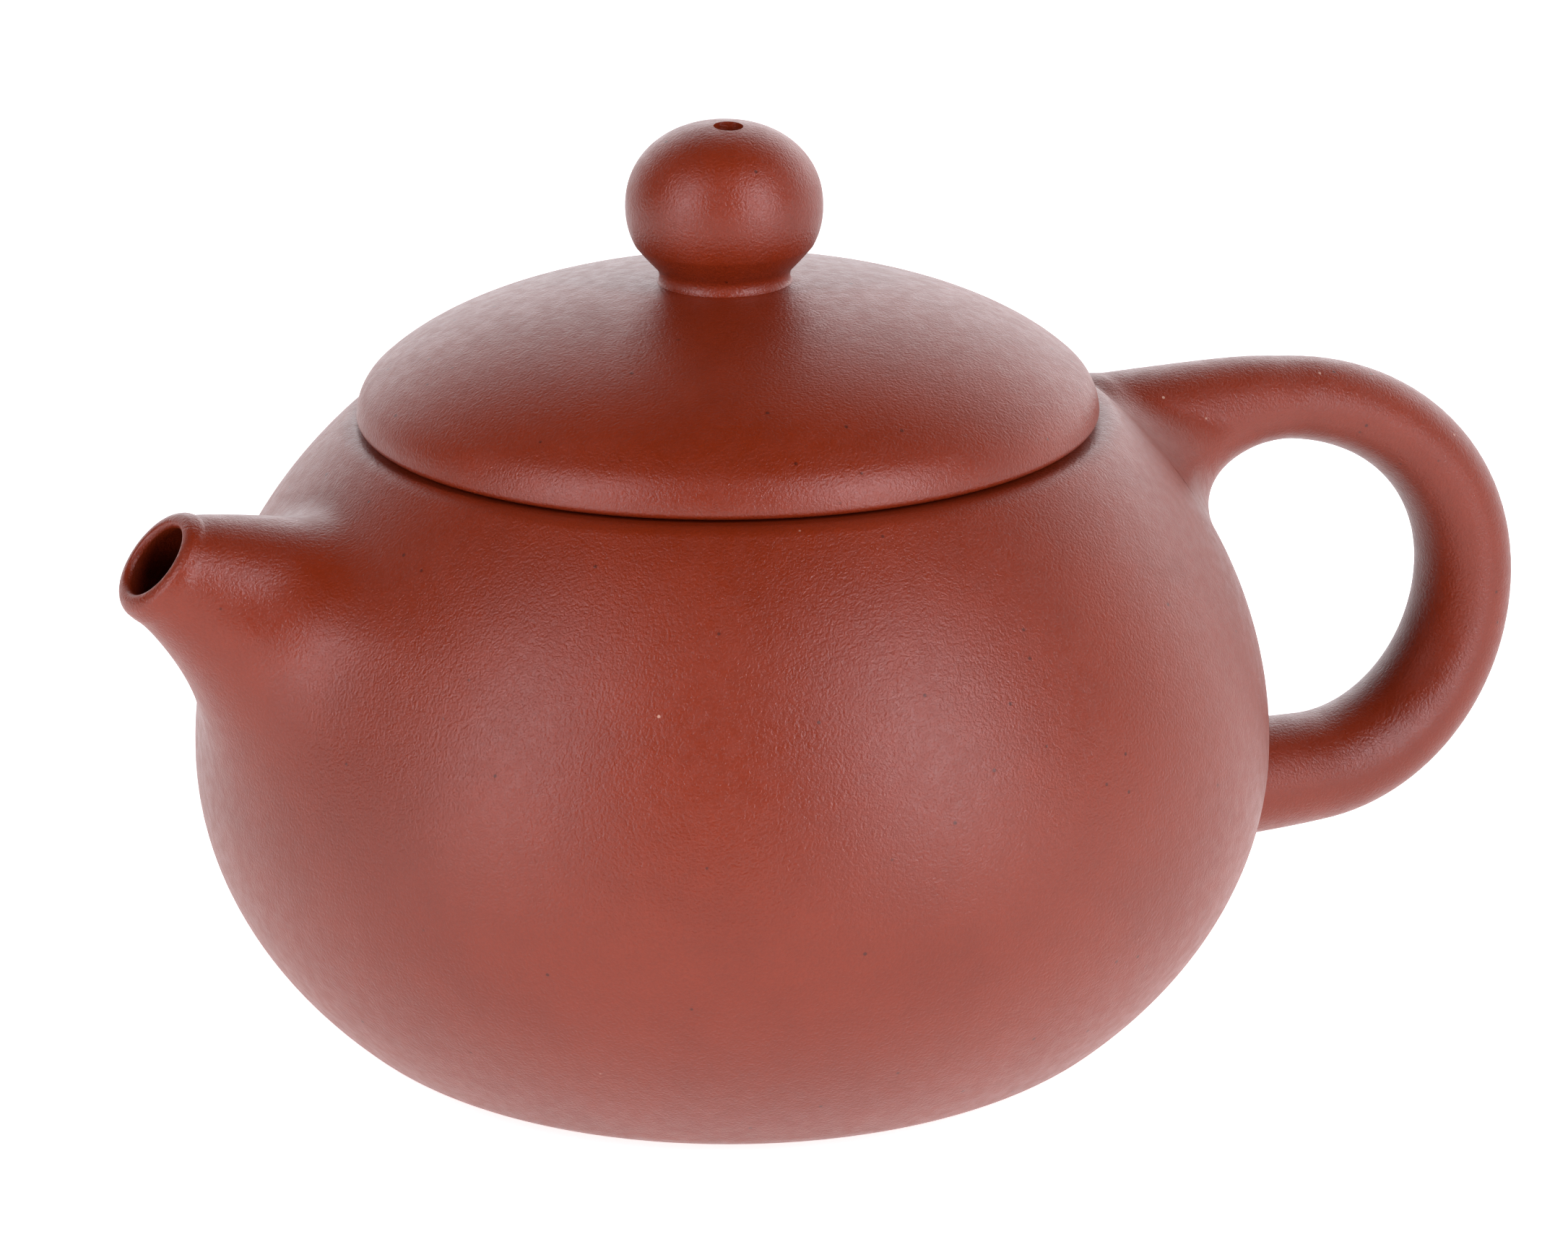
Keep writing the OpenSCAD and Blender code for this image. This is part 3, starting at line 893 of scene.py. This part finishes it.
def make_lid():
    skin = lid_line()
    dome_z = LID_TOP - DOME_R
    inner_r = FLANGE_R - FLANGE_WALL
    under_r = DOME_R - LID_WALL
    c = HOLLOW_CORNER
    hollow = [(r, dome_z + math.sqrt(under_r ** 2 - r * r)) for r in np.linspace(VENT_R, inner_r - c, 22)]
    corner = arc((inner_r - c, hollow[-1][1] - c), c, c, 90, 0, 5)[1:]
    outline = skin + hollow + corner + [(inner_r, RIM_Z)]
    return shift(turned("lid_cover", outline, "lid", ["lid_dome"], 45), LID_SHIFT)


def make_flange():
    low = RIM_Z - FLANGE_H
    r = 0.7
    inner_r = FLANGE_R - FLANGE_WALL
    sunk = RIM_Z + COLLAR_SUNK
    outline = ([(FLANGE_R, sunk), (inner_r + 0.5, sunk), (inner_r, RIM_Z - 0.1)]
               + arc((inner_r + r, low + r), r, r, 180, 270, 6)
               + arc((FLANGE_R - r, low + r), r, r, -90, 0, 6))
    return turned("lid_collar", outline, "flange", ["lid_flange"], 50)


def ball(angle):
    """A point of the knob's ball: a circle slightly squared off."""
    c, s = math.cos(angle), math.sin(angle)
    power = 2 / BALL_POWER
    return (BALL_R * math.copysign(abs(c) ** power, c), BALL_Z + BALL_H * math.copysign(abs(s) ** power, s))


KNOB_FOOT = [(5.3, 64.2), (5.6, 64.6), (5.62, 64.72), (5.56, 64.83)]
NECK_ANGLE = math.radians(-26)
VENT_LOW_Z, VENT_HIGH_Z = 63.0, 80.0
KNOB_NECK = [(5.46, 64.92), (5.4, 65.15), (5.4, 65.45), (5.52, 65.8), (5.85, 66.2), (6.5, 66.9)]


def make_knob():
    start = NECK_ANGLE
    ball_line = [ball(start + (math.pi / 2 - start) * i / 70) for i in range(70)]
    outline = (KNOB_FOOT + [tuple(p) for p in spline(KNOB_NECK + ball_line[:1], 40)][:-1] + ball_line
               + [(0, BALL_Z + BALL_H), (0, KNOB_FOOT[0][1])])
    obj = turned("lid_knob", outline, "lid", ["knob"], 50, 192)
    shift(obj, KNOB_SHIFT)
    foot, tip = np.array([0.0, 0.0, VENT_LOW_Z]), np.array([*VENT_TIP, VENT_HIGH_Z])
    cut(obj, rod(foot, tip - foot, VENT_R, 20))
    obj.data.set_sharp_from_angle(angle=math.radians(50))
    return obj


# ---------------------------------------------------------------- materials

class Nodes:
    """A short way to write a material's nodes. Every texture is placed in metres on the piece itself."""

    def __init__(self, name):
        self.material = bpy.data.materials.new(name)
        self.material.use_nodes = True
        self.tree = self.material.node_tree
        self.shader = self.tree.nodes["Principled BSDF"]
        self.place = self.tree.nodes.new("ShaderNodeTexCoord").outputs["Object"]

    def link(self, value, socket):
        if isinstance(value, bpy.types.NodeSocket):
            self.tree.links.new(value, socket)
        else:
            socket.default_value = value

    def noise(self, scale, detail=2.0, rough=0.5):
        n = self.tree.nodes.new("ShaderNodeTexNoise")
        n.inputs["Scale"].default_value = scale
        n.inputs["Detail"].default_value = detail
        n.inputs["Roughness"].default_value = rough
        self.tree.links.new(self.place, n.inputs["Vector"])
        return n.outputs["Fac"]

    def cells(self, scale):
        n = self.tree.nodes.new("ShaderNodeTexVoronoi")
        n.inputs["Scale"].default_value = scale
        self.tree.links.new(self.place, n.inputs["Vector"])
        split = self.tree.nodes.new("ShaderNodeSeparateColor")
        self.tree.links.new(n.outputs["Color"], split.inputs[0])
        return n.outputs["Distance"], split.outputs[0]

    def remap(self, value, low, high, to_low, to_high):
        n = self.tree.nodes.new("ShaderNodeMapRange")
        n.interpolation_type = "SMOOTHSTEP"
        self.link(value, n.inputs["Value"])
        for socket, v in zip(("From Min", "From Max", "To Min", "To Max"), (low, high, to_low, to_high)):
            n.inputs[socket].default_value = v
        return n.outputs["Result"]

    def maths(self, operation, a, b=0.0):
        n = self.tree.nodes.new("ShaderNodeMath")
        n.operation = operation
        self.link(a, n.inputs[0])
        self.link(b, n.inputs[1])
        return n.outputs[0]

    def blend(self, share, a, b, kind="MIX"):
        n = self.tree.nodes.new("ShaderNodeMix")
        n.data_type, n.blend_type = "RGBA", kind
        self.link(share, n.inputs[0])
        for value, socket in ((a, n.inputs[6]), (b, n.inputs[7])):
            self.link(value if isinstance(value, bpy.types.NodeSocket) else (*value, 1), socket)
        return n.outputs[2]

    def bump(self, height, distance, under=None):
        n = self.tree.nodes.new("ShaderNodeBump")
        n.inputs["Strength"].default_value = 1.0
        n.inputs["Distance"].default_value = distance
        self.link(height, n.inputs["Height"])
        if under is not None:
            self.tree.links.new(under, n.inputs["Normal"])
        return n.outputs["Normal"]


def specks(n, scale, size, chance, strength):
    """Small round specks, one in the middle of some of a pattern's cells."""
    far, pick = n.cells(scale)
    return n.maths("MULTIPLY", n.remap(far, *size, 1, 0), n.remap(pick, *chance, 0, strength))


def clay_material(name, deep, warm, roughness):
    """Fine unglazed stoneware: mottled red-brown, a leathery grain, and a few dark and pale specks."""
    n = Nodes(name)
    colour = n.blend(n.remap(n.noise(60, 3), 0.38, 0.62, 0, 1), deep, warm)
    cloud = n.remap(n.noise(420, 4, 0.6), 0.3, 0.7, 0.975, 1.025)
    grain = n.noise(5200, 3, 0.6)
    tone = n.maths("MULTIPLY", cloud, n.remap(grain, 0.3, 0.7, 0.93, 1.07))
    tone_colour = n.tree.nodes.new("ShaderNodeCombineColor")
    for socket in tone_colour.inputs[:3]:
        n.tree.links.new(tone, socket)
    colour = n.blend(1.0, colour, tone_colour.outputs[0], "MULTIPLY")
    dark = specks(n, 420, (0.045, 0.085), (0.55, 0.57), 0.75)
    colour = n.blend(dark, colour, tuple(0.22 * c for c in deep))
    pale = specks(n, 230, (0.022, 0.042), (0.66, 0.68), 0.6)
    colour = n.blend(pale, colour, SPECK_PALE)
    n.tree.links.new(colour, n.shader.inputs["Base Color"])
    rough = n.remap(n.noise(900, 3), 0.3, 0.7, roughness - 0.04, roughness + 0.04)
    n.tree.links.new(rough, n.shader.inputs["Roughness"])
    waves = n.bump(n.noise(170, 2), WAVE_DEPTH)
    pores = n.remap(n.noise(3400, 2), 0.28, 0.6, 0, 1)
    height = n.maths("ADD", grain, n.maths("MULTIPLY", pores, 0.3))
    n.tree.links.new(n.bump(height, GRAIN_DEPTH, waves), n.shader.inputs["Normal"])
    n.shader.inputs["Specular IOR Level"].default_value = GLOSS
    return n.material


# ---------------------------------------------------------------- build

clay = clay_material("clay", *CLAY_TONES, 0.355)
clay_inner = clay_material("clay_inner", *INNER_TONES, 0.6)

outer_pieces = [
    make_body_wall(), make_shoulder(), make_base(), make_spout(), make_handle(), make_lid(), make_knob()]
inner_pieces = [make_mouth_ring(), make_flange()]
for pieces, material in ((outer_pieces, clay), (inner_pieces + [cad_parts["strainer"]], clay_inner)):
    for piece in pieces:
        piece.data.materials.clear()
        piece.data.materials.append(material)

pale_floor()
camera()
studio()
